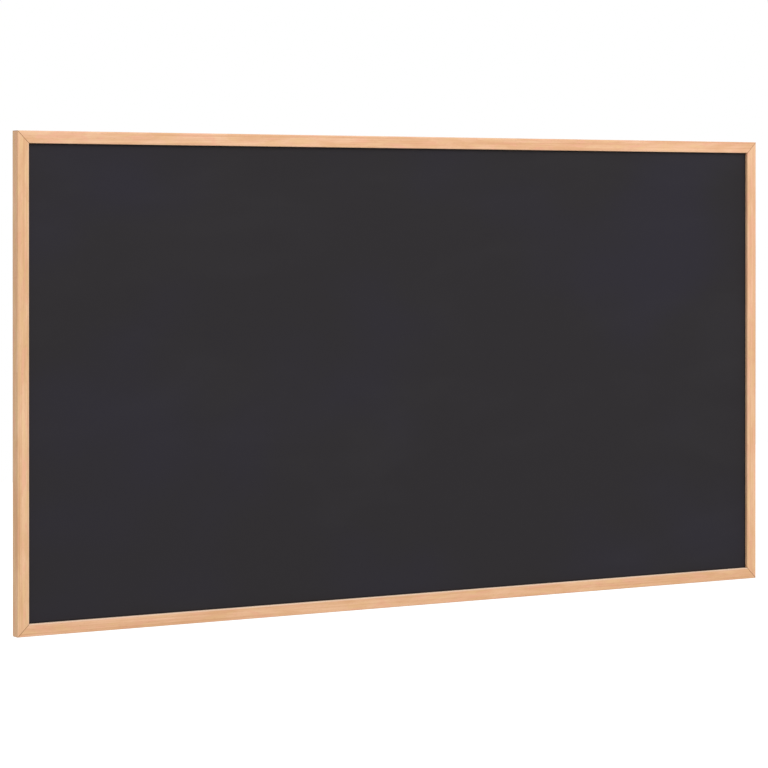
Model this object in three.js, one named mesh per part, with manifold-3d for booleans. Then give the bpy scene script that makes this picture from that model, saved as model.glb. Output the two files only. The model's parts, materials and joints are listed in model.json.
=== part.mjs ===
// Wall-hung chalkboard: a mitred and grooved wooden frame round a laminated writing panel.
// On the back are corner nails, two strap hangers with swinging D-rings, and two wall bumpers.
// Millimetres. +X runs to the right along the board, +Z is up and the front faces -Y.
// The origin lies in the wall's plane, behind the middle of the board.

import * as THREE from 'three';
import { mergeVertices } from 'three/addons/utils/BufferGeometryUtils.js';
import Module from 'manifold-3d';

const wasm = await Module();
wasm.setup();

// Outside of the whole frame
const boardWidth = 1100;
const boardHeight = 600;

// Moulding that all four frame members are cut from
const mouldingFace = 15; // width seen from the front
const mouldingDepth = 15; // from the front to the back
const lipDepth = 4.5; // wood in front of the writing face
const grooveDepth = 4.5; // how far the panel's groove is cut in from the inner side
const outerRound = 1.6; // arris along the outside of the front
const innerRound = 1.0; // arris along the writing face
const backRound = 0.8; // both arrises of the back
const arrisFacets = 5;
const mitreGap = 0.2; // glue line between two members at a corner

// Laminated panel
const writingSheet = 0.5; // coated steel
const panelCore = 5; // fibreboard
const backingSheet = 0.5; // foil that balances the steel
const panelEdgePlay = 0.5; // between the panel's edge and the bottom of the groove
const panelBackPlay = 0.3; // between the backing and the groove's rear wall

// V-shaped nail driven across each mitre from behind
const nailSpan = 8; // across the mitre
const nailRise = 3.6; // along the mitre, from the ends of the legs to the tip
const nailSheet = 0.5;
const nailLength = 8; // into the wood
const nailSink = 0.3; // below the back of the frame
const nailPlay = 0.12; // between the nail and its slot

// Strap hanger: a steel strap curled round the straight side of a D-ring
const strapWidth = 8;
const strapSheet = 0.8;
const curlPlay = 0.2; // between the ring's wire and the curl
const curlFacets = 18;
const curlEnd = THREE.MathUtils.degToRad(212); // where the curl closes on the strap
const hangerInset = 8.5; // from the outer side of the frame in to the hanger's middle
const hangerDrop = 62; // from the top of the frame down to the ring's pivot
const firstHole = 17; // from the pivot down to the first screw
const holePitch = 11; // between the two screws
const screwsPerStrap = 2;
const strapEnd = 5; // strap beyond the last screw, a round end
const strapHolePlay = 0.3;

// D-ring
const ringWire = 2; // diameter
const ringSidePlay = 1; // between the strap's side and the ring
const ringCorner = 1.5; // bend between the straight side and the legs
const ringLeg = 2.8; // straight part of each leg, before the bow
const ringSides = 10;
const ringSteps = 72;

// Pan-head screw of the hanger
const screwHead = 5; // diameter
const screwHeadHeight = 1.7;
const screwShank = 2.5; // diameter
const screwLength = 9; // under the head
const screwTip = 2.4; // tapered end
const pilotPlay = 0.15; // between the shank and its hole in the wood
const driveWidth = 0.9; // arms of the cross recess
const driveDepth = 0.9;

// Rubber bumper at each lower corner
const bumperDiameter = 10;
const bumperEdge = 1.6; // rounding towards the wall
const bumperInset = 52; // from the side of the frame
const wallPlay = 0.5; // between the hangers and the wall

// Planes across the depth of the board
const ringRadius = ringWire / 2;
const curlRadius = ringRadius + curlPlay + strapSheet; // outside of the curl
const bumperHeight = 2 * curlRadius + wallPlay;
const wallY = 0;
const backY = wallY - bumperHeight;
const frontY = backY - mouldingDepth;
const writingY = frontY + lipDepth;
const coreY = writingY + writingSheet;
const backingY = coreY + panelCore;
const panelBackY = backingY + backingSheet;
const grooveBackY = panelBackY + panelBackPlay;
const pivotY = backY + curlRadius;

// Places on the frame
const hangerX = boardWidth / 2 - hangerInset;
const pivotZ = boardHeight / 2 - hangerDrop;
const screwDrops = Array.from({ length: screwsPerStrap }, (_, i) => firstHole + i * holePitch);
const quarter = Math.PI / 2;

const wood = new THREE.MeshStandardMaterial({ color: 0xe6b993, roughness: 0.55 });
const slate = new THREE.MeshStandardMaterial({ color: 0x323032, roughness: 0.9 });
const fibreboard = new THREE.MeshStandardMaterial({ color: 0x9c7a55, roughness: 0.85 });
const foil = new THREE.MeshStandardMaterial({ color: 0x8c8f92, roughness: 0.6, metalness: 0.4 });
const zinc = new THREE.MeshStandardMaterial({ color: 0xc3c7cb, roughness: 0.35, metalness: 0.9 });
const rubber = new THREE.MeshStandardMaterial({ color: 0x3a3a3c, roughness: 0.8 });

// A closed geometry as a solid that can be cut.
function solidOf(geometry) {
	const bare = geometry.clone();
	bare.deleteAttribute('normal');
	bare.deleteAttribute('uv');
	const merged = mergeVertices(bare);
	return new wasm.Manifold(new wasm.Mesh({
		numProp: 3,
		vertProperties: new Float32Array(merged.attributes.position.array),
		triVerts: new Uint32Array(merged.index.array),
	}));
}

// A cut solid back as a geometry with flat faces.
function geometryOf(solid) {
	const mesh = solid.getMesh();
	const indexed = new THREE.BufferGeometry();
	indexed.setAttribute('position', new THREE.BufferAttribute(mesh.vertProperties, 3));
	indexed.setIndex(new THREE.BufferAttribute(mesh.triVerts, 1));
	const flat = indexed.toNonIndexed();
	flat.computeVertexNormals();
	return flat;
}

// A flat outline, drawn with x to the right and y up the board, made solid from y = back forwards.
function plateFrom(shape, depth, back, curveSegments = 16) {
	const geometry = new THREE.ExtrudeGeometry(shape, { depth, bevelEnabled: false, curveSegments });
	geometry.rotateX(quarter);
	geometry.translate(0, back, 0);
	return geometry;
}

function placed(name, geometry, material, position = [0, 0, 0], turn = 0) {
	const mesh = new THREE.Mesh(geometry, material);
	mesh.name = name;
	mesh.position.set(...position);
	mesh.rotation.y = turn;
	return mesh;
}

// Section of the moulding: x is the distance in from the outer side, y the depth.
function mouldingSection() {
	const s = new THREE.Shape();
	s.moveTo(0, frontY + outerRound);
	s.absarc(outerRound, frontY + outerRound, outerRound, Math.PI, 1.5 * Math.PI, false);
	s.lineTo(mouldingFace - innerRound, frontY);
	s.absarc(mouldingFace - innerRound, frontY + innerRound, innerRound, -quarter, 0, false);
	s.lineTo(mouldingFace, writingY);
	s.lineTo(mouldingFace - grooveDepth, writingY);
	s.lineTo(mouldingFace - grooveDepth, grooveBackY);
	s.lineTo(mouldingFace, grooveBackY);
	s.absarc(mouldingFace - backRound, backY - backRound, backRound, 0, quarter, false);
	s.lineTo(backRound, backY);
	s.absarc(backRound, backY - backRound, backRound, quarter, Math.PI, false);
	s.closePath();
	return s;
}

// Outline of a corner nail, grown by play on every side. The corner of the frame is at 0, 0.
// The mitre runs right and down, and the tip of the V points along it to the board's middle.
function nailOutline(play) {
	const half = nailSpan / 2;
	const leg = Math.hypot(half, nailRise);
	const thick = nailSheet / 2 + play;
	const tipShift = thick * leg / half;
	const across = thick * nailRise / leg;
	const along = thick * half / leg;
	const endAcross = half + play * half / leg;
	const endAlong = -play * nailRise / leg;
	const middle = (mouldingFace - grooveDepth) / Math.SQRT2;
	const base = middle - nailRise / 2;
	const points = [
		[-endAcross - across, endAlong + along],
		[0, nailRise + tipShift],
		[endAcross + across, endAlong + along],
		[endAcross - across, endAlong - along],
		[0, nailRise - tipShift],
		[-endAcross + across, endAlong - along],
	];
	const turned = points.map(([c, m]) => new THREE.Vector2(
		(base + m + c) / Math.SQRT2,
		(c - base - m) / Math.SQRT2,
	));
	return new THREE.Shape(turned);
}

// One frame member along x, centred on x = 0, with its outer side on z = 0 and its wood below it.
// Both ends are mitred. pilotHoles are places along x where screws enter from behind.
function frameMember(length, pilotHoles = []) {
	const cutBack = mitreGap / Math.SQRT2;
	const geometry = new THREE.ExtrudeGeometry(mouldingSection(), {
		depth: 1,
		bevelEnabled: false,
		curveSegments: arrisFacets,
	});
	const p = geometry.attributes.position;
	for (let i = 0; i < p.count; i++) {
		const inward = p.getX(i);
		const reach = length / 2 - inward - cutBack;
		p.setXYZ(i, p.getZ(i) > 0 ? reach : -reach, p.getY(i), -inward);
	}
	let member = solidOf(geometry);
	const slotDepth = nailLength + nailSink + nailPlay;
	for (const end of [-1, 1]) {
		const slot = plateFrom(nailOutline(nailPlay), slotDepth + nailSink, backY + nailSink);
		slot.rotateY(end < 0 ? 0 : quarter);
		slot.translate(end * length / 2, 0, 0);
		member = member.subtract(solidOf(slot));
	}
	const holeDepth = screwLength - strapSheet + pilotPlay;
	for (const x of pilotHoles) {
		const hole = new THREE.CylinderGeometry(
			screwShank / 2 + pilotPlay, screwShank / 2 + pilotPlay, 2 * holeDepth, 24);
		hole.translate(x, backY, -hangerInset);
		member = member.subtract(solidOf(hole));
	}
	return geometryOf(member);
}

function frame() {
	const group = new THREE.Group();
	const screwHeights = screwDrops.map((drop) => pivotZ - drop);
	const rail = frameMember(boardWidth);
	const leftStile = frameMember(boardHeight, screwHeights);
	const rightStile = frameMember(boardHeight, screwHeights.map((z) => -z));
	group.add(placed('top_rail', rail, wood, [0, 0, boardHeight / 2]));
	group.add(placed('right_stile', rightStile, wood, [boardWidth / 2, 0, 0], quarter));
	group.add(placed('bottom_rail', rail, wood, [0, 0, -boardHeight / 2], 2 * quarter));
	group.add(placed('left_stile', leftStile, wood, [-boardWidth / 2, 0, 0], -quarter));
	return group;
}

function cornerNails() {
	const group = new THREE.Group();
	const nail = plateFrom(nailOutline(0), nailLength, backY - nailSink);
	const corners = [
		['top_left', -1, 1, 0],
		['top_right', 1, 1, 1],
		['bottom_right', 1, -1, 2],
		['bottom_left', -1, -1, 3],
	];
	for (const [name, right, up, turns] of corners) {
		const at = [right * boardWidth / 2, 0, up * boardHeight / 2];
		group.add(placed('corner_nail_' + name, nail, zinc, at, turns * quarter));
	}
	return group;
}

// The three layers of the panel, glued face to face and held in the frame's groove.
function panel() {
	const group = new THREE.Group();
	const inset = mouldingFace - grooveDepth + panelEdgePlay;
	const width = boardWidth - 2 * inset;
	const height = boardHeight - 2 * inset;
	const layers = [
		['writing_sheet', writingY, writingSheet, slate],
		['panel_core', coreY, panelCore, fibreboard],
		['backing_sheet', backingY, backingSheet, foil],
	];
	for (const [name, y, thickness, material] of layers) {
		const layer = new THREE.BoxGeometry(width, thickness, height);
		group.add(placed(name, layer, material, [0, y + thickness / 2, 0]));
	}
	return group;
}

// Strap with its curl. x runs across it, y = 0 is the wood's back and z = 0 the ring's pivot.
function hangerStrap() {
	const length = screwDrops.at(-1) + strapEnd;
	const inner = curlRadius - strapSheet;
	const side = new THREE.Shape();
	side.moveTo(-length, 0);
	side.lineTo(0, 0);
	side.absarc(0, curlRadius, curlRadius, -quarter, curlEnd, false);
	side.absarc(0, curlRadius, inner, curlEnd, -quarter, true);
	side.lineTo(-length, strapSheet);
	side.closePath();
	const curled = new THREE.ExtrudeGeometry(side, {
		depth: strapWidth,
		bevelEnabled: false,
		curveSegments: curlFacets,
	});
	curled.translate(0, 0, -strapWidth / 2);
	curled.applyMatrix4(new THREE.Matrix4().makeBasis(
		new THREE.Vector3(0, 0, 1),
		new THREE.Vector3(0, 1, 0),
		new THREE.Vector3(-1, 0, 0),
	));
	const outline = new THREE.Shape();
	const half = strapWidth / 2;
	outline.moveTo(half, 2 * curlRadius);
	outline.lineTo(-half, 2 * curlRadius);
	outline.absarc(0, half - length, half, Math.PI, 2 * Math.PI, false);
	outline.closePath();
	const blank = plateFrom(outline, 4 * curlRadius, 3 * curlRadius);
	let strap = solidOf(curled).intersect(solidOf(blank));
	for (const drop of screwDrops) {
		const radius = screwShank / 2 + strapHolePlay;
		const hole = new THREE.CylinderGeometry(radius, radius, 4 * strapSheet, 24);
		hole.translate(0, 0, -drop);
		strap = strap.subtract(solidOf(hole));
	}
	return geometryOf(strap);
}

// Closed D of round wire: a straight side through the curl, two legs and a half-round bow below.
function dRing() {
	const half = strapWidth / 2 + ringSidePlay + ringRadius;
	const d = new THREE.Shape();
	d.moveTo(0, 0);
	d.lineTo(half - ringCorner, 0);
	d.absarc(half - ringCorner, -ringCorner, ringCorner, quarter, 0, true);
	d.lineTo(half, -ringCorner - ringLeg);
	d.absarc(0, -ringCorner - ringLeg, half, 0, -Math.PI, true);
	d.lineTo(-half, -ringCorner);
	d.absarc(ringCorner - half, -ringCorner, ringCorner, Math.PI, quarter, true);
	d.lineTo(0, 0);
	const points = d.getSpacedPoints(ringSteps).slice(0, -1);
	const path = new THREE.CatmullRomCurve3(points.map((q) => new THREE.Vector3(q.x, 0, q.y)), true);
	return new THREE.TubeGeometry(path, ringSteps, ringRadius, ringSides, true);
}

// Screw along y with its head's underside on y = 0 and its tip towards the front.
function hangerScrew() {
	const head = screwHead / 2;
	const shank = screwShank / 2;
	const crown = new THREE.EllipseCurve(0, screwHeadHeight * 0.35, head, screwHeadHeight * 0.65, 0, quarter);
	const profile = [
		new THREE.Vector2(0, -screwLength),
		new THREE.Vector2(shank, screwTip - screwLength),
		new THREE.Vector2(shank, 0),
		new THREE.Vector2(head, 0),
		...crown.getPoints(6),
	];
	profile[profile.length - 1].x = 0;
	let screw = solidOf(new THREE.LatheGeometry(profile, 24));
	const arm = 0.62 * screwHead;
	for (const [across, up] of [[arm, driveWidth], [driveWidth, arm]]) {
		const slot = new THREE.BoxGeometry(across, 2 * driveDepth, up);
		slot.translate(0, screwHeadHeight, 0);
		screw = screw.subtract(solidOf(slot));
	}
	return geometryOf(screw);
}

function hangers() {
	const group = new THREE.Group();
	const strap = hangerStrap();
	const ring = dRing();
	const screw = hangerScrew();
	for (const [side, x] of [['left', -hangerX], ['right', hangerX]]) {
		group.add(placed(side + '_hanger_strap', strap, zinc, [x, backY, pivotZ]));
		group.add(placed(side + '_hanger_ring', ring, zinc, [x, pivotY, pivotZ]));
		for (const [i, drop] of screwDrops.entries()) {
			const name = side + '_hanger_screw_' + (i + 1);
			group.add(placed(name, screw, zinc, [x, backY + strapSheet, pivotZ - drop]));
		}
	}
	return group;
}

// Round bumpers stuck to the back of the bottom rail, with flat faces against the wall.
function bumpers() {
	const group = new THREE.Group();
	const radius = bumperDiameter / 2;
	const edge = new THREE.EllipseCurve(radius - bumperEdge, -bumperEdge, bumperEdge, bumperEdge, 0, quarter);
	const profile = [
		new THREE.Vector2(0, -bumperHeight),
		new THREE.Vector2(radius, -bumperHeight),
		...edge.getPoints(6),
		new THREE.Vector2(0, 0),
	];
	const bumper = new THREE.LatheGeometry(profile, 40);
	const z = mouldingFace / 2 - boardHeight / 2;
	for (const [side, direction] of [['left', -1], ['right', 1]]) {
		const x = direction * (boardWidth / 2 - bumperInset);
		group.add(placed(side + '_wall_bumper', bumper, rubber, [x, wallY, z]));
	}
	return group;
}

const group = new THREE.Group();
group.add(frame(), cornerNails(), panel(), hangers(), bumpers());

export default group;
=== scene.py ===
import json
import logging
import math
from dataclasses import dataclass
from enum import Enum
from typing import Any

import bmesh
import bpy
import numpy as np
from mathutils import Matrix, Vector


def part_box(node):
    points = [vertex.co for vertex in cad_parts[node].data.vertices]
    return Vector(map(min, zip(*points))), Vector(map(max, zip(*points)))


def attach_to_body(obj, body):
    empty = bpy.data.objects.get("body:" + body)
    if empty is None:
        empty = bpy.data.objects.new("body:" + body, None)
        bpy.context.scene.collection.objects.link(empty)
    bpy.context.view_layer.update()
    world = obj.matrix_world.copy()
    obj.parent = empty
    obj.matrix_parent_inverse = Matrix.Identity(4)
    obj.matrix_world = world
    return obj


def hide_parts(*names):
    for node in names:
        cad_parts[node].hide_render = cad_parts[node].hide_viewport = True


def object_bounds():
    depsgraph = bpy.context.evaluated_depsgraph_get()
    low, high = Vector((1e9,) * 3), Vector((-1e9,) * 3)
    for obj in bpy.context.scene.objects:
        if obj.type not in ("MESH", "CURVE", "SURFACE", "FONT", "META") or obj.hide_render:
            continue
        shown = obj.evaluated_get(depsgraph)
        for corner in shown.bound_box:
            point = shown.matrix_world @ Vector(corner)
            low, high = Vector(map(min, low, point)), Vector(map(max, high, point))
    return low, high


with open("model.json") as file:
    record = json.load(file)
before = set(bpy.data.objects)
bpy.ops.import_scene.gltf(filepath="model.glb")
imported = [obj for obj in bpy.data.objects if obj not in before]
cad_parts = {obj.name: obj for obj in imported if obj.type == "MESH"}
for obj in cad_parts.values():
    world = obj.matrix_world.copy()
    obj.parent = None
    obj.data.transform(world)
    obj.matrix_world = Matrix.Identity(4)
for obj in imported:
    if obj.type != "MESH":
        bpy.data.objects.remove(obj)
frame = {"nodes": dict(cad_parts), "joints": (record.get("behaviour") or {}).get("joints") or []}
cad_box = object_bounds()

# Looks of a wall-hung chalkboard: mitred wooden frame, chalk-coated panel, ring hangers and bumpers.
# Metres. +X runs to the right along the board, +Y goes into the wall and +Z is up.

Colour = tuple[float, float, float, float]
Place = tuple[float, float, float]
Tint = tuple[float, float, float]
Socket = bpy.types.NodeSocket

MM = 0.001
# Clockwise, as the frame's members are: member n runs from nail n - 1 to nail n.
CORNER_NAILS = tuple("corner_nail_" + corner for corner in (
    "top_right", "bottom_right", "bottom_left", "top_left"))
log = logging.getLogger("chalkboard")


def rgb(red: int, green: int, blue: int) -> Colour:
    """Returns a colour given on the screen's 0 to 255 scale in linear light, by the sRGB curve."""
    return tuple(((c / 255 + 0.055) / 1.055) ** 2.4 for c in (red, green, blue)) + (1.0,)


@dataclass(frozen=True)
class Noise:
    """Smooth noise from 0 to 1.

    scale is its repeats a metre along each axis, detail its octaves of finer noise, roughness the share
    that each keeps of the one before, bend how far it distorts itself, and start its place at the origin.
    """

    scale: Place
    detail: float = 2.0
    roughness: float = 0.5
    bend: float = 0.0
    start: Place = (0.0, 0.0, 0.0)


@dataclass(frozen=True)
class Ramp:
    """A smooth step that carries low to at_low and high to at_high, and is held outside them."""

    low: float
    high: float
    at_low: float = 0.0
    at_high: float = 1.0


class Shading:
    """The node tree of a material or of the world, being filled with nodes."""

    def __init__(self, owner: bpy.types.Material | bpy.types.World) -> None:
        """Empties the owner's node tree.

        Args:
            owner: The material or world.
        """
        owner.use_nodes = True
        self.owner = owner
        self.tree = owner.node_tree
        self.tree.nodes.clear()

    @classmethod
    def of_material(cls, name: str) -> "Shading":
        """Returns the empty shading of a new material."""
        return cls(bpy.data.materials.new(name))

    def add(self, kind: str, inputs: dict[Any, Any] | None = None, **settings: Any) -> bpy.types.Node:
        """Adds a node.

        Args:
            kind: The node's type, such as ShaderNodeTexNoise.
            inputs: Input name or number to a value, or to an output that is linked to it.
            settings: Attributes of the node itself.

        Returns:
            The new node.
        """
        node = self.tree.nodes.new(kind)
        for key, value in settings.items():
            setattr(node, key, value)
        for key, value in (inputs or {}).items():
            if isinstance(value, Socket):
                self.tree.links.new(value, node.inputs[key])
            else:
                node.inputs[key].default_value = value
        return node

    def place(self) -> Socket:
        """Returns the place on the piece, in metres."""
        return self.add("ShaderNodeTexCoord").outputs["Object"]

    def axes(self) -> tuple[Socket, ...]:
        """Returns the place on the piece as its X, Y and Z."""
        return tuple(self.add("ShaderNodeSeparateXYZ", {"Vector": self.place()}).outputs)

    def noise(self, at: Socket, noise: Noise) -> Socket:
        """Adds smooth noise.

        Args:
            at: Where the noise is read.
            noise: Which noise.

        Returns:
            The noise's value, from 0 to 1.
        """
        placed = {"Vector": at, "Scale": noise.scale, "Location": noise.start}
        stretched = self.add("ShaderNodeMapping", placed).outputs[0]
        inputs = {"Vector": stretched, "Scale": 1.0, "Detail": noise.detail, "Roughness": noise.roughness,
                  "Distortion": noise.bend}
        return self.add("ShaderNodeTexNoise", inputs).outputs[0]

    def step(self, value: Socket, ramp: Ramp) -> Socket:
        """Carries a value up or down a ramp.

        Args:
            value: The value that is carried.
            ramp: Which ramp.

        Returns:
            The carried value.
        """
        inputs = {"Value": value, "From Min": ramp.low, "From Max": ramp.high,
                  "To Min": ramp.at_low, "To Max": ramp.at_high}
        return self.add("ShaderNodeMapRange", inputs, interpolation_type="SMOOTHSTEP").outputs[0]

    def math(self, operation: str, a: Any, b: Any = 0.0) -> Socket:
        """Returns the result of a sum on one or two values."""
        return self.add("ShaderNodeMath", {0: a, 1: b}, operation=operation).outputs[0]

    def blend(self, share: Socket, a: Any, b: Any) -> Socket:
        """Returns colour a with that share of colour b mixed in."""
        return self.add("ShaderNodeMix", {0: share, 6: a, 7: b}, data_type="RGBA").outputs[2]

    def bump(self, height: Socket, distance: float, strength: float, under: Socket | None = None) -> Socket:
        """Raises the surface by a relief.

        Args:
            height: Relief from 0 to 1.
            distance: Height in metres that 1 stands for.
            strength: Share of the relief that shows.
            under: A normal that this relief lies on.

        Returns:
            The new normal.
        """
        inputs = {"Height": height, "Distance": distance, "Strength": strength}
        if under is not None:
            inputs["Normal"] = under
        return self.add("ShaderNodeBump", inputs).outputs[0]

    def finished(self, **inputs: Any) -> bpy.types.Material:
        """Closes the material with a principled shader.

        Args:
            inputs: The shader's inputs, with _ for each space in a name.

        Returns:
            The finished material.
        """
        named = {key.replace("_", " "): value for key, value in inputs.items()}
        shader = self.add("ShaderNodeBsdfPrincipled", named)
        self.add("ShaderNodeOutputMaterial", {"Surface": shader.outputs[0]})
        return self.owner


class Grain(Enum):
    """Direction that the wood's grain runs in, as the turn about Y that lays it along X."""

    ALONG_X = 0.0
    ALONG_Z = math.pi / 2


@dataclass(frozen=True)
class WoodFinish:
    """Light straight-grained wood, sanded and thinly lacquered.

    cut_from is the place in the plank that the member was cut from, tint_and_shade its red, green and blue
    against the others', partly its own tone and partly painted shade that darkens the bottom rail, and
    rub_and_highlight the share of a painted highlight along its inner arris. corner is half of the frame's
    width and height, where the mitres start. lip is half of the width inside the frame, the writing face's
    Y and half of the height inside. A ramp is named for the noise that it reads and the tone that it gives.
    """

    name: str
    grain: Grain
    cut_from: Place
    tint_and_shade: Tint
    rub_and_highlight: float
    corner: tuple[float, float]
    lip: Place
    pale: Colour = rgb(247, 202, 165)
    body: Colour = rgb(231, 181, 138)
    streak: Colour = rgb(212, 156, 113)
    blush: Colour = rgb(243, 183, 153)
    straw: Colour = rgb(240, 198, 150)
    pore: Colour = rgb(170, 116, 76)
    glue: Colour = rgb(150, 104, 66)
    # Colour of the painted highlight along the inner arris.
    rubbed_and_highlight: Colour = rgb(247, 226, 206)
    wander: Noise = Noise((2.0, 14.0, 14.0), 1.0)
    drift: Noise = Noise((5.5, 20.0, 20.0), 1.0)
    cloud: Noise = Noise((14.0, 80.0, 80.0), 3.0, 0.65, 0.4)
    patch: Noise = Noise((34.0, 170.0, 170.0), 2.0, 0.5, 0.6)
    band: Noise = Noise((3.2, 420.0, 420.0), 3.0, 0.6, 0.5)
    line: Noise = Noise((2.0, 1100.0, 1100.0), 2.0, 0.6, 0.3)
    fibre: Noise = Noise((60.0, 4200.0, 4200.0), 2.0, 0.6)
    fleck: Noise = Noise((210.0, 3300.0, 3300.0), 1.0)
    cloud_pale: Ramp = Ramp(0.3, 0.7)
    wander_blush: Ramp = Ramp(0.45, 0.75, 0.0, 0.35)
    patch_blush: Ramp = Ramp(0.52, 0.68, 0.0, 0.65)
    patch_straw: Ramp = Ramp(0.32, 0.48, 0.65, 0.0)
    drift_streak: Ramp = Ramp(0.3, 0.62, 0.15, 0.0)
    band_streak: Ramp = Ramp(0.48, 0.74, 0.0, 0.6)
    line_streak: Ramp = Ramp(0.56, 0.68, 0.0, 0.32)
    fibre_streak: Ramp = Ramp(0.35, 0.75, 0.0, 0.16)
    fleck_pore: Ramp = Ramp(0.66, 0.74)
    pore_share: float = 0.4
    pore_depth: float = 1.5
    glue_share: float = 0.55
    glue_line: float = 0.75 * MM
    highlight_width: float = 2.2 * MM
    roughness: Ramp = Ramp(0.2, 0.8, 0.5, 0.64)
    shine: float = 0.18
    relief: float = 0.03 * MM
    relief_share: float = 0.55

    def tinted_and_shaded(self, colour: Colour) -> Colour:
        """Returns a colour with the member's tint, partly its own tone and partly painted shade."""
        return tuple(own * c for own, c in zip(self.tint_and_shade, colour)) + (1.0,)

    def off_mitre(self, s: Shading) -> Socket:
        """Works out the distance from the nearest mitre: how far a place is off the diagonal of its corner.

        Args:
            s: The material being made.

        Returns:
            Metres, measured square to the cut.
        """
        x, _, z = s.axes()
        across = s.math("SUBTRACT", s.math("ABSOLUTE", x), s.math("ABSOLUTE", z))
        off = s.math("ABSOLUTE", s.math("SUBTRACT", across, self.corner[0] - self.corner[1]))
        return s.math("DIVIDE", off, math.sqrt(2))

    def off_lip(self, s: Shading) -> Socket:
        """Works out the distance from the lip: the greatest of those past its side, its top and its back.

        Args:
            s: The material being made.

        Returns:
            Metres outwards or back from the edge round the writing face, negative on the lip itself.
        """
        x, y, z = s.axes()
        past_side = s.math("SUBTRACT", s.math("ABSOLUTE", x), self.lip[0])
        past_top = s.math("SUBTRACT", s.math("ABSOLUTE", z), self.lip[2])
        behind = s.math("SUBTRACT", y, self.lip[1])
        return s.math("MAXIMUM", s.math("MAXIMUM", past_side, past_top), behind)

    def build(self) -> bpy.types.Material:
        """Makes the material: patches, streaks, fibres and short pores along the grain.

        The colour turns pale with a painted highlight along the inner arris and dark with glue at the
        mitres.

        Returns:
            The finished material.
        """
        s = Shading.of_material(self.name)
        turned = {"Vector": s.place(), "Rotation": (0.0, self.grain.value, 0.0), "Location": self.cut_from}
        at = s.add("ShaderNodeMapping", turned).outputs[0]
        patch = s.noise(at, self.patch)
        fibre = s.noise(at, self.fibre)
        # The member's tint is partly its own tone and partly painted shade, darker on the bottom rail.
        straw, blush, streak = self.tinted_and_shaded(self.straw), self.tinted_and_shaded(self.blush), self.tinted_and_shaded(self.streak)
        clouded = s.step(s.noise(at, self.cloud), self.cloud_pale)
        colour = s.blend(clouded, self.tinted_and_shaded(self.body), self.tinted_and_shaded(self.pale))
        for value, ramp, tone in (
            (s.noise(at, self.wander), self.wander_blush, blush),
            (patch, self.patch_blush, blush),
            (patch, self.patch_straw, straw),
            (s.noise(at, self.drift), self.drift_streak, streak),
            (s.noise(at, self.band), self.band_streak, streak),
            (s.noise(at, self.line), self.line_streak, streak),
            (fibre, self.fibre_streak, streak),
        ):
            colour = s.blend(s.step(value, ramp), colour, tone)
        pores = s.step(s.noise(at, self.fleck), self.fleck_pore)
        colour = s.blend(s.math("MULTIPLY", pores, self.pore_share), colour, self.pore)
        # Painted highlight: a pale band along the inner arris, strongest on the bottom rail, where light
        # from above catches it.
        rubbed_and_highlight = s.step(self.off_lip(s), Ramp(0.0, self.highlight_width, self.rub_and_highlight, 0.0))
        colour = s.blend(rubbed_and_highlight, colour, self.rubbed_and_highlight)
        glued = s.step(self.off_mitre(s), Ramp(0.0, self.glue_line, self.glue_share, 0.0))
        colour = s.blend(glued, colour, self.glue)
        height = s.math("SUBTRACT", fibre, s.math("MULTIPLY", pores, self.pore_depth))
        return s.finished(
            Base_Color=colour,
            Roughness=s.step(fibre, self.roughness),
            Specular_IOR_Level=self.shine,
            Normal=s.bump(height, self.relief, self.relief_share),
        )


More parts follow.
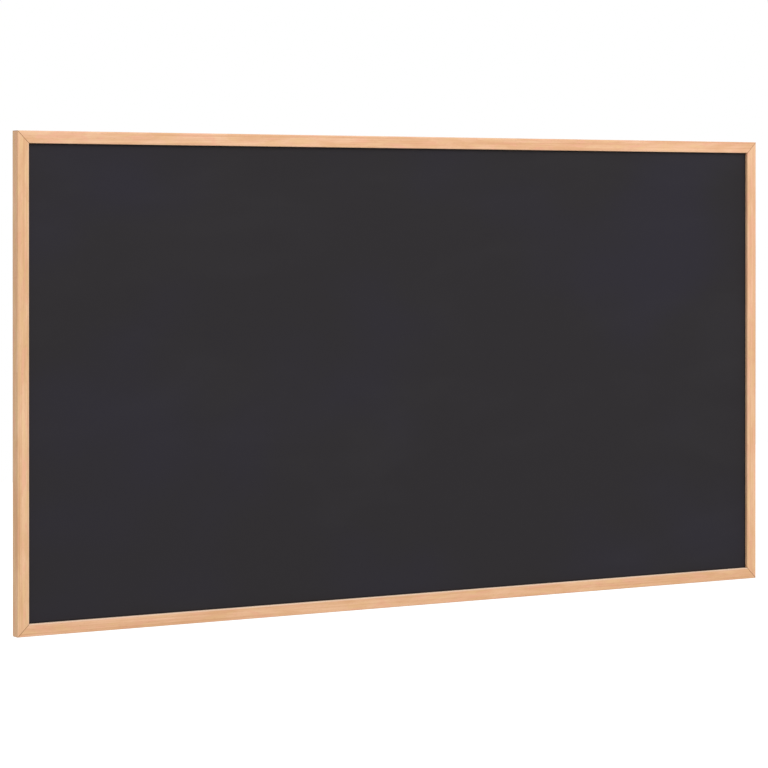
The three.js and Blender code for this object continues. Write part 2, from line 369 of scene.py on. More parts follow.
@dataclass(frozen=True)
class ChalkFinish:
    """Matt black chalk coating, finely gritty, with the faintest cloud of wiped chalk.

    reach is half of the width and height that show inside the frame. The mottle starts where its cool,
    slightly lighter patches lie to the upper right and to the left: partly the coating's own mottle and
    partly painted light, lighter to the upper right.
    """

    reach: tuple[float, float]
    name: str = "chalk_coating"
    coat: Colour = rgb(34, 31, 34)
    cool_and_painted_light: Colour = rgb(35, 32, 41)
    chalk: Colour = rgb(150, 150, 156)
    # Painted shade where the frame's lip meets the writing face.
    rim: Colour = rgb(12, 11, 11)
    # Its start puts the lighter cool patches to the upper right, where they are partly painted light.
    mottle: Noise = Noise((3.0, 3.0, 4.0), start=(-39.0, 0.0, 8.95))
    wiped: Noise = Noise((3.0, 3.0, 9.0), 4.0, 0.6, 0.8)
    grit: Noise = Noise((2600.0, 2600.0, 2600.0), 2.0, 0.6)
    tooth: Noise = Noise((700.0, 700.0, 700.0))
    mottle_painted_light: Ramp = Ramp(0.42, 0.66)
    grit_speckle: Ramp = Ramp(0.5, 0.72, 0.0, 0.07)
    grit_hold: Ramp = Ramp(0.3, 0.7, 0.4, 1.0)
    wiped_dust: Ramp = Ramp(0.45, 0.75, 0.0, 0.014)
    shade_rim_width: float = 2.4 * MM
    roughness: float = 0.72
    shine: float = 0.22
    grit_height: float = 0.06 * MM
    grit_share: float = 0.6
    tooth_height: float = 0.08 * MM
    tooth_share: float = 0.5

    def off_frame(self, s: Shading) -> Socket:
        """Works out the distance in from the frame: the lesser of those to a side and to top or bottom.

        Args:
            s: The material being made.

        Returns:
            Metres from the nearest inner edge of the frame.
        """
        x, _, z = s.axes()
        off_side = s.math("SUBTRACT", self.reach[0], s.math("ABSOLUTE", x))
        off_top = s.math("SUBTRACT", self.reach[1], s.math("ABSOLUTE", z))
        return s.math("MINIMUM", off_side, off_top)

    def build(self) -> bpy.types.Material:
        """Makes the material: a slow mottle, partly painted light, specks and chalk dust on the grit's
        tops, and a dark rim of painted shade along the frame.

        Returns:
            The finished material.
        """
        s = Shading.of_material(self.name)
        at = s.place()
        grit = s.noise(at, self.grit)
        dust = s.step(s.noise(at, self.wiped), self.wiped_dust)
        # Partly painted light: the mottle's cool patches make the coat lighter to the upper right.
        colour = s.blend(s.step(s.noise(at, self.mottle), self.mottle_painted_light), self.coat, self.cool_and_painted_light)
        colour = s.blend(s.step(grit, self.grit_speckle), colour, self.chalk)
        colour = s.blend(s.math("MULTIPLY", dust, s.step(grit, self.grit_hold)), colour, self.chalk)
        # Painted shade: the coat turns dark towards the frame's inner edge, as a shadow along the lip.
        colour = s.blend(s.step(self.off_frame(s), Ramp(0.0, self.shade_rim_width, 1.0, 0.0)), colour, self.rim)
        toothed = s.bump(s.noise(at, self.tooth), self.tooth_height, self.tooth_share)
        return s.finished(
            Base_Color=colour,
            Roughness=self.roughness,
            Specular_IOR_Level=self.shine,
            Normal=s.bump(grit, self.grit_height, self.grit_share, toothed),
        )


@dataclass(frozen=True)
class FoilFinish:
    """Dull grey backing foil with rolling marks and light rubs."""

    name: str = "backing_foil"
    bright: Colour = rgb(184, 186, 188)
    dull: Colour = rgb(172, 174, 177)
    rubbed_and_highlight: Colour = rgb(140, 141, 144)
    rolled: Noise = Noise((6.0, 900.0, 900.0), 2.0, 0.6)
    band: Noise = Noise((0.7, 38.0, 38.0), 4.0, 0.6)
    cloud: Noise = Noise((2.2, 7.0, 7.0))
    rub_and_highlight: Noise = Noise((90.0, 90.0, 900.0), 3.0, 0.7)
    band_dull: Ramp = Ramp(0.35, 0.65)
    rolled_dull: Ramp = Ramp(0.3, 0.7, 0.0, 0.4)
    rub_dark: Ramp = Ramp(0.62, 0.74, 0.0, 0.3)
    metal: float = 0.55
    roughness: Ramp = Ramp(0.3, 0.7, 0.46, 0.52)
    relief: float = 0.01 * MM
    relief_share: float = 0.5

    def build(self) -> bpy.types.Material:
        """Makes the material: fine lines and broad bands along the rolling direction, and short rubs.

        Returns:
            The finished material.
        """
        s = Shading.of_material(self.name)
        at = s.place()
        rolled = s.noise(at, self.rolled)
        colour = s.blend(s.step(s.noise(at, self.band), self.band_dull), self.bright, self.dull)
        colour = s.blend(s.step(rolled, self.rolled_dull), colour, self.dull)
        colour = s.blend(s.step(s.noise(at, self.rub_and_highlight), self.rub_dark), colour, self.rubbed_and_highlight)
        return s.finished(
            Base_Color=colour,
            Metallic=self.metal,
            Roughness=s.step(s.noise(at, self.cloud), self.roughness),
            Normal=s.bump(rolled, self.relief, self.relief_share),
        )


@dataclass(frozen=True)
class FibreboardFinish:
    """Raw fibreboard, pressed from fine brown fibres."""

    name: str = "fibreboard"
    light: Colour = rgb(186, 152, 112)
    dark: Colour = rgb(140, 106, 72)
    fibres: Noise = Noise((1400.0, 1400.0, 1400.0), 3.0, 0.7, 1.0)
    cloud: Noise = Noise((30.0, 30.0, 30.0))
    fibre_share: float = 0.7
    cloud_share: float = 0.3
    tone_light: Ramp = Ramp(0.35, 0.65)
    roughness: float = 0.85
    relief: float = 0.05 * MM
    relief_share: float = 0.6

    def build(self) -> bpy.types.Material:
        """Makes the material: short fibres in every direction over a slow change of tone.

        Returns:
            The finished material.
        """
        s = Shading.of_material(self.name)
        at = s.place()
        fibres = s.noise(at, self.fibres)
        clouded = s.math("MULTIPLY", s.noise(at, self.cloud), self.cloud_share)
        tone = s.math("ADD", s.math("MULTIPLY", fibres, self.fibre_share), clouded)
        return s.finished(
            Base_Color=s.blend(s.step(tone, self.tone_light), self.dark, self.light),
            Roughness=self.roughness,
            Normal=s.bump(fibres, self.relief, self.relief_share),
        )


@dataclass(frozen=True)
class ZincFinish:
    """Zinc plate on steel, a little clouded and scratched."""

    name: str = "zinc_steel"
    bright: Colour = rgb(203, 207, 211)
    clouded: Colour = rgb(176, 181, 187)
    cloud: Noise = Noise((260.0, 260.0, 260.0), 3.0, 0.6)
    scratch: Noise = Noise((300.0, 5000.0, 2600.0), 2.0, 0.6)
    cloud_share: float = 0.7
    scratch_share: float = 0.3
    cloud_dull: Ramp = Ramp(0.35, 0.65)
    roughness: Ramp = Ramp(0.35, 0.65, 0.22, 0.4)
    relief: float = 0.004 * MM
    relief_share: float = 0.6

    def build(self) -> bpy.types.Material:
        """Makes the material: clouded plate whose tone and roughness change together, with fine scratches.

        Returns:
            The finished material.
        """
        s = Shading.of_material(self.name)
        at = s.place()
        cloud = s.noise(at, self.cloud)
        scratch = s.noise(at, self.scratch)
        scratched = s.math("MULTIPLY", scratch, self.scratch_share)
        worn = s.math("ADD", s.math("MULTIPLY", cloud, self.cloud_share), scratched)
        return s.finished(
            Base_Color=s.blend(s.step(cloud, self.cloud_dull), self.bright, self.clouded),
            Metallic=1.0,
            Roughness=s.step(worn, self.roughness),
            Normal=s.bump(scratch, self.relief, self.relief_share),
        )


@dataclass(frozen=True)
class RubberFinish:
    """Matt rubber, moulded with a fine texture."""

    name: str = "bumper_rubber"
    skin: Colour = rgb(58, 58, 60)
    bloom: Colour = rgb(78, 78, 80)
    spark: Noise = Noise((3000.0, 3000.0, 3000.0), 2.0, 0.6)
    cloud: Noise = Noise((350.0, 350.0, 350.0), 3.0, 0.6)
    cloud_bloom: Ramp = Ramp(0.4, 0.7, 0.0, 0.6)
    roughness: float = 0.7
    shine: float = 0.35
    relief: float = 0.03 * MM
    relief_share: float = 0.6

    def build(self) -> bpy.types.Material:
        """Makes the material: a fine sparked texture with a pale bloom on it in places.

        Returns:
            The finished material.
        """
        s = Shading.of_material(self.name)
        at = s.place()
        bloomed = s.step(s.noise(at, self.cloud), self.cloud_bloom)
        return s.finished(
            Base_Color=s.blend(bloomed, self.skin, self.bloom),
            Roughness=self.roughness,
            Specular_IOR_Level=self.shine,
            Normal=s.bump(s.noise(at, self.spark), self.relief, self.relief_share),
        )


class Pen:
    """Draws a flat path of straight runs and arcs as evenly stepped points."""

    def __init__(self, start: tuple[float, float], step: float, arc_step: float) -> None:
        """Sets the pen down.

        Args:
            start: Where the path starts.
            step: Longest step along a straight run.
            arc_step: Longest step round an arc.
        """
        self.step = step
        self.arc_step = arc_step
        self.runs = [np.array([start])]

    def line(self, x: float, y: float) -> "Pen":
        """Draws straight to a point: start + t (end - start), with t in equal steps.

        Args:
            x: The end of the run.
            y: The end of the run.

        Returns:
            The pen itself.
        """
        start = self.runs[-1][-1]
        run = np.array([x, y]) - start
        count = max(1, math.ceil(np.linalg.norm(run) / self.step))
        self.runs.append(start + np.linspace(0, 1, count + 1)[1:, None] * run)
        return self

    def arc(self, x: float, y: float, sweep: float) -> "Pen":
        """Turns about a centre: the last point's offset from the centre, turned by equal angles.

        Args:
            x: The centre.
            y: The centre.
            sweep: Degrees to turn through, anticlockwise if positive.

        Returns:
            The pen itself.
        """
        centre = np.array([x, y])
        u, v = self.runs[-1][-1] - centre
        count = max(2, math.ceil(math.hypot(u, v) * abs(math.radians(sweep)) / self.arc_step))
        a = np.radians(np.linspace(0, sweep, count + 1)[1:])
        turned = np.stack([u * np.cos(a) - v * np.sin(a), u * np.sin(a) + v * np.cos(a)], axis=1)
        self.runs.append(centre + turned)
        return self

    def points(self, closed: bool) -> np.ndarray:
        """Returns the path's points, without the last if it closes on the first."""
        path = np.concatenate(self.runs)
        return path[:-1] if closed else path


def circle(count: int) -> np.ndarray:
    """Returns equally spaced angles round a full turn."""
    return np.linspace(0, 2 * math.pi, count, endpoint=False)


def outward(path: np.ndarray) -> np.ndarray:
    """Finds the outward directions of a closed flat path, drawn anticlockwise.

    Args:
        path: Points of the path, n by 2.

    Returns:
        A unit vector for each point: the chord between its neighbours, turned clockwise by a quarter.
    """
    chord = np.roll(path, -1, axis=0) - np.roll(path, 1, axis=0)
    normal = np.stack([chord[:, 1], -chord[:, 0]], axis=1)
    return normal / np.linalg.norm(normal, axis=1, keepdims=True)


@dataclass
class Sweep:
    """A closed section carried along a path: rings[i, j] is point j of the section at station i."""

    rings: np.ndarray
    closed_path: bool = False

    def faces(self) -> list[tuple[int, ...]]:
        """Lists the faces: a quad for each step along and round, and a cap at each end of an open path.

        Returns:
            Corner numbers of every face, all turning the same way as seen from outside.
        """
        along, around = self.rings.shape[:2]
        number = np.arange(along * around).reshape(along, around)
        after = np.roll(number, -1, axis=0)
        steps = along if self.closed_path else along - 1
        quads = np.stack([number, np.roll(number, -1, axis=1), np.roll(after, -1, axis=1), after], axis=2)
        found = [tuple(quad) for quad in quads[:steps].reshape(-1, 4).tolist()]
        if not self.closed_path:
            found += [tuple(number[0, ::-1].tolist()), tuple(number[-1].tolist())]
        return found

    def inside_out(self) -> bool:
        """Finds out which way the faces turn, from the sum of a . (b x c) over the triangles of the quads.

        Returns:
            Whether the faces look inwards.
        """
        rings = self.rings - self.rings.mean(axis=(0, 1))
        after = np.roll(rings, -1, axis=0)
        steps = len(rings) if self.closed_path else len(rings) - 1
        a, d = rings[:steps], after[:steps]
        b, c = np.roll(a, -1, axis=1), np.roll(d, -1, axis=1)
        return bool(np.sum(a * np.cross(b, c)) + np.sum(a * np.cross(c, d)) < 0)

    def build(self, name: str, material: bpy.types.Material,
              smooth_under: float = 40.0) -> bpy.types.Object:
        """Makes the surface an object at the origin.

        Args:
            name: The object's name.
            material: Its finish.
            smooth_under: Edges that turn by fewer degrees than this are shaded smooth.

        Returns:
            The new object, linked to the scene.
        """
        faces = self.faces()
        if self.inside_out():
            faces = [face[::-1] for face in faces]
        mesh = bpy.data.meshes.new(name)
        mesh.from_pydata(self.rings.reshape(-1, 3).tolist(), [], faces)
        mesh.materials.append(material)
        piece = linked(name, mesh)
        shade(piece, smooth_under)
        return piece


def linked(name: str, data: bpy.types.ID) -> bpy.types.Object:
    """Makes an object of a mesh, lamp or camera and links it to the scene.

    Args:
        name: The object's name.
        data: What it shows.

    Returns:
        The new object, at the origin.
    """
    piece = bpy.data.objects.new(name, data)
    bpy.context.scene.collection.objects.link(piece)
    return piece


def shade(piece: bpy.types.Object, smooth_under: float) -> None:
    """Shades a piece smooth, apart from edges that turn by more than smooth_under degrees."""
    piece.data.shade_smooth()
    piece.data.set_sharp_from_angle(angle=math.radians(smooth_under))


def attach(piece: bpy.types.Object, body: str, node: str) -> None:
    """Puts a piece on its body in place of a CAD node.

    Args:
        piece: The finished piece.
        body: The body that it rides on.
        node: The CAD node that it stands for.
    """
    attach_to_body(piece, body)
    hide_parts(node)
    log.info("%s stands for %s, with %d faces", piece.name, node, len(piece.data.polygons))


def dress(node: str, material: bpy.types.Material) -> None:
    """Gives a CAD node that stays in view its finish.

    Args:
        node: The CAD node.
        material: Its finish.
    """
    for spot in frame["nodes"][node].material_slots:
        spot.material = material
    log.info("%s keeps its solid, in %s", node, material.name)


@dataclass(frozen=True)
class Member:
    """One side of the frame: its node, its grain, its tint, partly painted shade, and its share of painted
    highlight on the inner arris.
    """

    node: str
    grain: Grain
    tint_and_shade: Tint
    rub_and_highlight: float


@dataclass
class WoodenFrame:
    """Four members of one grooved moulding, mitred and nailed at the corners, clockwise from the top."""

    outer_round: float = 1.6 * MM
    inner_round: float = 1.0 * MM
    back_round: float = 0.8 * MM
    groove_play: float = 0.5 * MM
    groove_back_play: float = 0.3 * MM
    mitre_gap: float = 0.2 * MM
    mitre_ease: float = 0.18 * MM
    sanding: float = 0.05 * MM
    waves: tuple[float, ...] = (0.9, 0.41, 0.17, 0.083)
    wave_lean: float = 2.0
    station: float = 6.0 * MM
    section_step: float = 1.1 * MM
    arris_step: float = 0.22 * MM
    slot_play: float = 0.06 * MM
    slot_runout: float = 1.0 * MM
    weld: float = 0.01 * MM
    smooth_under: float = 30.0
    plank_start: Place = (0.6, 0.0, 0.0)
    plank_step: Place = (1.7, 0.31, 0.53)
    members: tuple[Member, ...] = (
        # Tints are partly painted shade, darker on the bottom rail; the last number is each member's share
        # of painted highlight on the inner arris.
        Member("top_rail", Grain.ALONG_X, (1.015, 1.01, 1.015), 0.08),
        Member("right_stile", Grain.ALONG_Z, (1.015, 1.025, 1.02), 0.0),
        Member("bottom_rail", Grain.ALONG_X, (0.98, 0.965, 0.935), 0.6),
        Member("left_stile", Grain.ALONG_Z, (0.985, 1.005, 0.96), 0.22),
    )
    seed: int = 11

    def __post_init__(self) -> None:
        """Reads the frame's outside and its moulding from the CAD nodes."""
        low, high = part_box("top_rail")
        self.face = high.z - low.z
        self.front, self.back = low.y, high.y
        self.half_height = high.z
        self.half_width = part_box("right_stile")[1].x
        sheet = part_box("writing_sheet")
        self.writing = sheet[0].y
        self.lip = (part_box("right_stile")[0].x, self.writing, low.z)
        self.groove_floor = self.half_height - sheet[1].z - self.groove_play
        self.groove_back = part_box("backing_sheet")[1].y + self.groove_back_play
        self.random = np.random.default_rng(self.seed)

    def section(self) -> np.ndarray:
        """Draws the moulding's section anticlockwise.

        Returns:
            Points of inward distance and depth: four sides with round arrises, the inner one grooved.
        """
        face, r, s, k = self.face, self.outer_round, self.inner_round, self.back_round
        pen = Pen((0.0, self.front + r), self.section_step, self.arris_step)
        pen.arc(r, self.front + r, 90).line(face - s, self.front).arc(face - s, self.front + s, 90)
        pen.line(face, self.writing).line(self.groove_floor, self.writing)
        pen.line(self.groove_floor, self.groove_back).line(face, self.groove_back)
        pen.line(face, self.back - k).arc(face - k, self.back - k, 90)
        pen.line(k, self.back).arc(k, self.back - k, 90).line(0.0, self.front + r)
        return pen.points(closed=True)

    def sanded(self, along: np.ndarray, around: int) -> np.ndarray:
        """Works out how far hand sanding has taken the wood down.

        Args:
            along: Stations along the member.
            around: Points round its section.

        Returns:
            Depths from 0 to the sanding allowance: a sum of long waves whose phase drifts round the
            section.
        """
        total = np.zeros((len(along), around))
        for wave in self.waves:
            phase, drift = self.random.uniform(0, 2 * math.pi, 2)
            lean = self.wave_lean * np.sin(circle(around) + drift)
            total += np.sin(2 * math.pi * along[:, None] / wave + phase + lean)
        return self.sanding * (1 + total / len(self.waves)) / 2

    def surface(self, length: float, turn: int, middle: tuple[float, float]) -> Sweep:
        """Carries the section along one side of the frame and cuts it back along both mitres.

        Args:
            length: Outer length of the member.
            turn: Quarter turns about Y that bring it round from the top of the frame.
            middle: x and z of the middle of its outer side.

        Returns:
            The surface. Its ends lie at plus or minus half the length, less the inward distance and the
            cut. The first and last rings are the section drawn in by the ease, which softens the mitre's
            edges.
        """
        section = self.section()
        share = np.linspace(0, 1, math.ceil(length / self.station) + 1)
        share = np.concatenate([share[:1], share, share[-1:]])
        drawn_in = np.zeros((len(share), 1))
        drawn_in[[0, -1]] = self.mitre_ease
        inset = self.sanded(share * length, len(section)) + drawn_in
        inward, depth = np.moveaxis(section - outward(section) * inset[..., None], 2, 0)
        reach = length / 2 - inward - self.mitre_gap / math.sqrt(2) - self.mitre_ease + drawn_in
        x = (2 * share[:, None] - 1) * reach
        cos, sin = math.cos(turn * math.pi / 2), math.sin(turn * math.pi / 2)
        right = middle[0] + x * cos - inward * sin
        up = middle[1] - x * sin - inward * cos
        return Sweep(np.stack([right, depth, up], axis=2))

    def nail_cutter(self, nail: str) -> bpy.types.Object:
        """Makes the shape that cuts a corner nail's slot: the nail, a little wider and out past the back.

        Args:
            nail: The CAD node of the nail.

        Returns:
            A loose object that is removed after the cut.
        """
        shape = bmesh.new()
        shape.from_mesh(frame["nodes"][nail].data)
        bmesh.ops.remove_doubles(shape, verts=shape.verts, dist=self.weld)
        shape.normal_update()
        low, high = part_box(nail)
        for corner in shape.verts:
            sideways = Vector((corner.normal.x, 0.0, corner.normal.z)).normalized()
            behind = corner.co.y > (low.y + high.y) / 2
            corner.co += sideways * self.slot_play
            corner.co.y = self.back + self.slot_runout if behind else corner.co.y - self.slot_play
        mesh = bpy.data.meshes.new("nail_cutter")
        shape.to_mesh(mesh)
        shape.free()
        return linked("nail_cutter", mesh)

    def cut_slots(self, piece: bpy.types.Object, *nails: str) -> None:
        """Cuts the slots of its corner nails out of a member and keeps the result as its mesh.

        Args:
            piece: The member.
            nails: CAD nodes of the nails.
        """
        cutters = [self.nail_cutter(nail) for nail in nails]
        for cutter in cutters:
            cut = piece.modifiers.new("slot", "BOOLEAN")
            cut.operation = "DIFFERENCE"
            cut.solver = "EXACT"
            cut.object = cutter
        whole = piece.evaluated_get(bpy.context.evaluated_depsgraph_get())
        piece.data = bpy.data.meshes.new_from_object(whole)
        piece.modifiers.clear()
        for cutter in cutters:
            bpy.data.objects.remove(cutter)
        shade(piece, self.smooth_under)

    def build(self) -> None:
        """Makes, cuts and dresses the four members."""
        wide, high = self.half_width, self.half_height
        middles = ((0.0, high), (wide, 0.0), (0.0, -high), (-wide, 0.0))
        for turn, (member, middle) in enumerate(zip(self.members, middles)):
            wood = WoodFinish(
                name="frame_wood_" + member.node,
                grain=member.grain,
                cut_from=tuple(first + turn * on for first, on in zip(self.plank_start, self.plank_step)),
                tint_and_shade=member.tint_and_shade,
                rub_and_highlight=member.rub_and_highlight,
                corner=(wide, high),
                lip=self.lip,
            )
            length = 2 * (wide if member.grain is Grain.ALONG_X else high)
            surface = self.surface(length, turn, middle)
            piece = surface.build(member.node + "_wood", wood.build(), self.smooth_under)
            self.cut_slots(piece, CORNER_NAILS[turn - 1], CORNER_NAILS[turn])
            attach(piece, "board", member.node)


@dataclass
class CornerNails:
    """The V-shaped nails across the mitres, which keep their solids."""

    zinc: bpy.types.Material

    def build(self) -> None:
        """Dresses the four nails."""
        for nail in CORNER_NAILS:
            dress(nail, self.zinc)


@dataclass
class WritingPanel:
    """The coated sheet on its fibreboard core, with foil behind."""

    core: FibreboardFinish = FibreboardFinish()
    foil: FoilFinish = FoilFinish()

    def build(self) -> None:
        """Dresses the three layers, flat sheets held in the frame's groove that keep their solids."""
        reach = (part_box("right_stile")[0].x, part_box("top_rail")[0].z)
        dress("writing_sheet", ChalkFinish(reach).build())
        dress("panel_core", self.core.build())
        dress("backing_sheet", self.foil.build())


class Side(Enum):
    """The two hangers and bumpers, by the start of their nodes' names."""

    LEFT = "left"
    RIGHT = "right"


@dataclass
class Strap:
    """A flat steel bar with one round end, its other end curled round the ring's wire."""

    node: str
    pivot: Vector
    sheet: float = 0.8 * MM
    edge: float = 0.18 * MM
    edge_points: int = 6
    end_steps: int = 18
    end_start: float = 0.06
    curl_degrees: float = 302.0
    curl_step: float = 0.22 * MM

    def surface(self) -> Sweep:
        """Bends the strap from its round lower end, up the wood and round the wire.

        Returns:
            The surface: a bar with rounded edges, carried up a straight line and then round an arc about
            the pivot. Over the round end its half width grows as the sine of the angle round that end,
            which starts a little above 0, at end_start, so that the tip doesn't close to a point.
        """
        low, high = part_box(self.node)
        width = high.x - low.x
        half = width / 2
        radius = (high.y - low.y - self.sheet) / 2
        a = np.linspace(self.end_start, math.pi / 2, self.end_steps)
        rise = np.concatenate([low.z + half * (1 - np.cos(a)), [self.pivot.z - width]])
        turn = np.radians(np.linspace(0, self.curl_degrees, math.ceil(
            radius * math.radians(self.curl_degrees) / self.curl_step)))
        straight = np.zeros_like(rise)
        facing = np.concatenate([straight, turn])
        y = self.pivot.y - radius * np.cos(facing)
        z = np.concatenate([rise, self.pivot.z + radius * np.sin(turn)])
        wide = np.concatenate([half * np.sin(a), np.full(1 + len(turn), half)])
        edge = np.minimum(self.edge, wide)[:, None]
        corner = circle(4 * self.edge_points) + math.pi / (4 * self.edge_points)
        across = np.sign(np.cos(corner)) * (wide[:, None] - edge) + edge * np.cos(corner)
        through = np.sign(np.sin(corner)) * (self.sheet / 2 - edge) + edge * np.sin(corner)
        deep = y[:, None] + np.cos(facing)[:, None] * through
        up = z[:, None] - np.sin(facing)[:, None] * through
        return Sweep(np.stack([self.pivot.x + across, deep, up], axis=2))


@dataclass
class WireRing:
    """Round wire bent into a closed D, whose straight side lies in the strap's curl."""

    node: str
    pivot: Vector
    corner: float = 1.5 * MM
    step: float = 0.3 * MM
    sides: int = 28

    def surface(self) -> Sweep:
        """Bends the wire.

        Returns:
            The surface: a circle carried round the D, in the D's plane and across it.
        """
        low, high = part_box(self.node)
        wire = (high.y - low.y) / 2
        half = (high.x - low.x) / 2 - wire
        bow = high.z - low.z - 2 * wire - half
        pen = Pen((0.0, 0.0), self.step, self.step)
        pen.line(half - self.corner, 0).arc(half - self.corner, -self.corner, -90).line(half, -bow)
        pen.arc(0, -bow, -180).line(-half, -self.corner)
        path = pen.arc(self.corner - half, -self.corner, -90).line(0, 0).points(closed=True)
        a = circle(self.sides)
        flat = path[:, None] + wire * outward(path)[:, None] * np.cos(a)[:, None]
        deep = np.broadcast_to(self.pivot.y + wire * np.sin(a), flat.shape[:2])
        across, up = self.pivot.x + flat[..., 0], self.pivot.z + flat[..., 1]
        return Sweep(np.stack([across, deep, up], axis=2), closed_path=True)


@dataclass
class PanScrew:
    """A pan-head wood screw with a cross recess."""

    node: str
    seat: float
    head_height: float = 1.7 * MM
    rim_share: float = 0.35
    rim_inset: float = 0.15 * MM
    rim_lift: float = 0.3 * MM
    crown_start: float = 0.01
    crown_reach: float = 0.985
    shank: float = 2.5 * MM
    thread_pitch: float = 1.1 * MM
    thread_depth: float = 0.32 * MM
    tip_share: float = 0.24
    tip_blunt: float = 0.02
    bare_share: float = 0.004
    arm: float = 1.65 * MM
    slot_width: float = 0.8 * MM
    slot_depth: float = 0.95 * MM
    slot_wall: float = 0.12 * MM
    arm_narrowing: float = 0.25
    floor_bend: float = 1.6
    floor_power: float = 0.6
    around: int = 72
    crown_steps: int = 34
    shank_steps: int = 90

    def recess(self, x: np.ndarray, z: np.ndarray) -> np.ndarray:
        """Works out the depth of the cross recess: deepest at the middle, rising along each narrowing arm.

        Args:
            x: Distance across the head from its axis.
            z: Distance up the head from its axis.

        Returns:
            Depth at each point.
        """
        deepest = np.zeros_like(x)
        for run, off in ((np.abs(x), np.abs(z)), (np.abs(z), np.abs(x))):
            out = run / self.arm
            half_width = self.slot_width * (1 - out * self.arm_narrowing) / 2
            wall = np.clip((half_width - off) / self.slot_wall + 0.5, 0, 1)
            floor = np.clip(1 - out ** self.floor_bend, 0, 1) ** self.floor_power
            deepest = np.maximum(deepest, self.slot_depth * wall * floor)
        return deepest

    def surface(self) -> Sweep:
        """Turns the screw.

        Returns:
            The surface: a profile turned about the axis, with the recess sunk in its crown. The crown is
            part of an ellipse: the square root of 1 less the square of the share out from the axis. The
            thread is a triangle wave of the turn plus the depth over the pitch, added to the core.
        """
        low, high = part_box(self.node)
        middle = (low + high) / 2
        head = (high.x - low.x) / 2
        length = self.seat - low.y
        rim = self.rim_share * self.head_height
        t = np.linspace(self.crown_start, 1, self.crown_steps)
        crown = rim + (self.head_height - rim) * np.sqrt(1 - (t * self.crown_reach) ** 2)
        down = np.linspace(self.bare_share, 1, self.shank_steps)
        taper = np.clip((1 - down) / self.tip_share, self.tip_blunt, 1)
        core = (self.shank / 2 - self.thread_depth) * taper
        r = np.concatenate([t * head, [head, head - self.rim_inset, self.shank / 2], core])
        y = self.seat + np.concatenate([crown, [self.rim_lift, 0, 0], -down * length])
        a = circle(self.around)
        turns = (a / (2 * math.pi) + (down * length / self.thread_pitch)[:, None]) % 1
        wide = np.repeat(r[:, None], self.around, axis=1)
        wide[-self.shank_steps:] += self.thread_depth * taper[:, None] * (1 - 2 * np.abs(turns - 0.5))
        x, z = wide * np.cos(a), wide * np.sin(a)
        deep = np.repeat(y[:, None], self.around, axis=1)
        deep[:self.crown_steps] -= self.recess(x, z)[:self.crown_steps]
        return Sweep(np.stack([middle.x + x, deep, middle.z + z], axis=2))


@dataclass
class Hanger:
    """One hanger behind a stile: the strap with its two screws, and the D-ring that swings in it."""

    side: Side
    zinc: bpy.types.Material
    screws: int = 2
    screw_smooth_under: float = 32.0

    def build(self) -> None:
        """Makes and dresses the strap, the screws and the ring."""
        name = self.side.value + "_hanger_"
        joint = next(j for j in frame["joints"] if j["name"] == self.side.value + "_ring_swing")
        pivot = Vector(joint["pos_m"])
        strap = Strap(name + "strap", pivot)
        attach(strap.surface().build(name + "bent_strap", self.zinc), "board", strap.node)
        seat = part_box(strap.node)[0].y + strap.sheet
        for number in range(1, self.screws + 1):
            screw = PanScrew(f"{name}screw_{number}", seat)
            cut_name = f"{name}cut_screw_{number}"
            turned = screw.surface().build(cut_name, self.zinc, self.screw_smooth_under)
            attach(turned, "board", screw.node)
        ring = WireRing(name + "ring", pivot)
        bent = ring.surface().build(name + "wire_ring", self.zinc)
        attach(bent, self.side.value + "_ring", ring.node)


@dataclass
class Bumper:
    """One round rubber bumper stuck to the back of the bottom rail."""

    side: Side
    rubber: bpy.types.Material
    edge: float = 1.6 * MM
    foot_round: float = 0.3 * MM
    draft: float = 0.25 * MM
    pole: float = 0.05 * MM
    step: float = 0.5 * MM
    arc_step: float = 0.12 * MM
    around: int = 96
    smooth_under: float = 50.0

    def build(self) -> None:
        """Turns the bumper: a drafted side with a small round at the wood and a large one at the wall."""
        node = self.side.value + "_wall_bumper"
        low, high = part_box(node)
        middle = (low + high) / 2
        radius = (high.x - low.x) / 2
        foot = radius - self.foot_round
        brow = radius - self.draft
        shoulder = high.y - self.edge
        pen = Pen((self.pole, low.y), self.step, self.arc_step)
        pen.line(foot, low.y).arc(foot, low.y + self.foot_round, 90).line(brow, shoulder)
        pen.arc(brow - self.edge, shoulder, 90).line(self.pole, high.y)
        profile = pen.points(closed=False)
        a = circle(self.around)
        x = middle.x + profile[:, :1] * np.cos(a)
        z = middle.z + profile[:, :1] * np.sin(a)
        y = np.repeat(profile[:, 1:], self.around, axis=1)
        surface = Sweep(np.stack([x, y, z], axis=2))
        turned = surface.build(node + "_turned", self.rubber, self.smooth_under)
        attach(turned, "board", node)


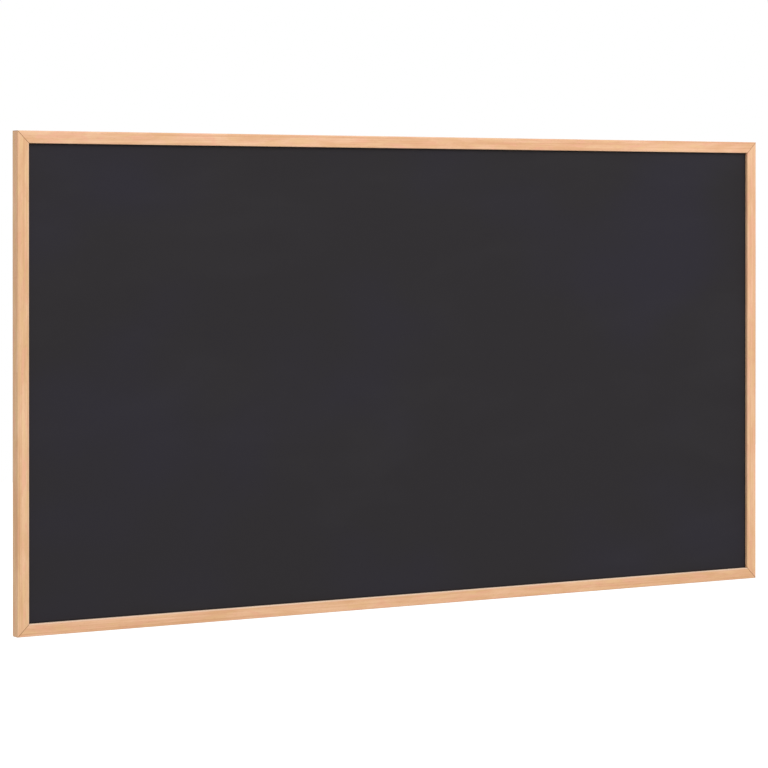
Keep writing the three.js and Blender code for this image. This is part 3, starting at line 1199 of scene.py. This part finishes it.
@dataclass
class Studio:
    """Pale floor, white surroundings, one large soft lamp and the camera.

    glow carries the metres from the board's middle to the floor's own light. surround carries 0, for rays
    that only light the scene, and 1, for rays that are seen, to the strength of the world.
    """

    floor_drop: float = 0.62
    floor_half: float = 8.0
    paper: Colour = (0.86, 0.86, 0.86, 1.0)
    paper_fibre: Colour = (0.88, 0.88, 0.88, 1.0)
    paper_noise: Noise = Noise((40.0, 40.0, 40.0), 3.0)
    paper_mix: Ramp = Ramp(0.3, 0.7)
    glow: Ramp = Ramp(1.5, 2.25, 0.27, 0.55)
    surround: Ramp = Ramp(0.0, 1.0, 0.69, 1.0)
    lamp_watts: float = 56.0
    lamp_size: float = 2.2
    lamp_place: Place = (0.5, -2.7, 2.6)
    photo_side: float = 768.0
    focal_pixels: float = 2886.29
    axis_pixel: float = 224.767
    camera_turn: float = 0.536814
    camera_dip: float = 0.003491
    corner_right: float = -433.052 * MM
    corner_up: float = -500.275 * MM
    corner_ahead: float = 3410.116 * MM
    sensor: float = 36.0

    def camera(self) -> None:
        """Sets up the camera: turned to the right, dipped a little and with its frame shifted down.

        The board's front lower left corner lies corner_right, corner_up and corner_ahead of the lens.
        Turned by the camera's turn, that offset gives the lens's place from the corner. The lens's axis
        meets the photograph at the row of axis_pixel. The turn and the dip are in radians.
        """
        offset = Vector((self.corner_right, self.corner_ahead, self.corner_up))
        data = bpy.data.cameras.new("camera")
        data.sensor_width = self.sensor
        data.lens = self.sensor * self.focal_pixels / self.photo_side
        data.shift_y = (self.axis_pixel - self.photo_side / 2) / self.photo_side
        camera = linked("camera", data)
        camera.location = cad_box[0] - Matrix.Rotation(-self.camera_turn, 3, "Z") @ offset
        camera.rotation_euler = (math.pi / 2 - self.camera_dip, 0, -self.camera_turn)
        bpy.context.scene.camera = camera

    def floor(self) -> None:
        """Lays the floor: matt paper that the camera sees as white but for the board's shadow.

        Seen by the camera it also glows a little, and more so far out, where less of the lamp's light
        falls.
        """
        level = cad_box[0].z - self.floor_drop
        half = self.floor_half
        corners = [(-half, -half, level), (half, -half, level), (half, half, level), (-half, half, level)]
        mesh = bpy.data.meshes.new("floor")
        mesh.from_pydata(corners, [], [(0, 1, 2, 3)])
        s = Shading.of_material("floor_paper")
        at = s.place()
        mixed = s.step(s.noise(at, self.paper_noise), self.paper_mix)
        matt = s.add("ShaderNodeBsdfDiffuse", {"Color": s.blend(mixed, self.paper, self.paper_fibre)})
        away = s.add("ShaderNodeVectorMath", {0: at}, operation="LENGTH").outputs["Value"]
        seen = s.add("ShaderNodeLightPath").outputs["Is Camera Ray"]
        glow = s.math("MULTIPLY", seen, s.step(away, self.glow))
        light = s.add("ShaderNodeEmission", {"Strength": glow})
        both = s.add("ShaderNodeAddShader", {0: matt.outputs[0], 1: light.outputs[0]})
        s.add("ShaderNodeOutputMaterial", {"Surface": both.outputs[0]})
        mesh.materials.append(s.owner)
        linked("floor", mesh)

    def surroundings(self) -> None:
        """Makes the world white to the camera and in reflections, and a plain soft light to the rest."""
        world = bpy.data.worlds.new("surroundings")
        s = Shading(world)
        rays = s.add("ShaderNodeLightPath").outputs
        mirrored = s.math("MAXIMUM", rays["Is Glossy Ray"], rays["Is Transmission Ray"])
        seen = s.math("MAXIMUM", rays["Is Camera Ray"], mirrored)
        strength = s.step(seen, self.surround)
        light = s.add("ShaderNodeBackground", {"Color": (1.0, 1.0, 1.0, 1.0), "Strength": strength})
        s.add("ShaderNodeOutputWorld", {"Surface": light.outputs[0]})
        bpy.context.scene.world = world

    def lamp(self) -> None:
        """Hangs the lamp in front of the board, above it and to the right, facing its middle."""
        data = bpy.data.lights.new("soft_lamp", "AREA")
        data.shape = "DISK"
        data.size = self.lamp_size
        data.energy = self.lamp_watts
        lamp = linked("soft_lamp", data)
        lamp.location = self.lamp_place
        lamp.rotation_euler = Vector(self.lamp_place).to_track_quat("Z", "Y").to_euler()

    def build(self) -> None:
        """Sets the stage."""
        self.camera()
        self.floor()
        self.surroundings()
        self.lamp()
        bpy.context.scene.view_settings.view_transform = "Standard"


def main() -> None:
    """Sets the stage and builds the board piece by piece."""
    logging.basicConfig(level=logging.INFO, format="%(message)s")
    zinc = ZincFinish().build()
    rubber = RubberFinish().build()
    Studio().build()
    WoodenFrame().build()
    CornerNails(zinc).build()
    WritingPanel().build()
    for side in Side:
        Hanger(side, zinc).build()
        Bumper(side, rubber).build()


if __name__ == "__main__":
    main()
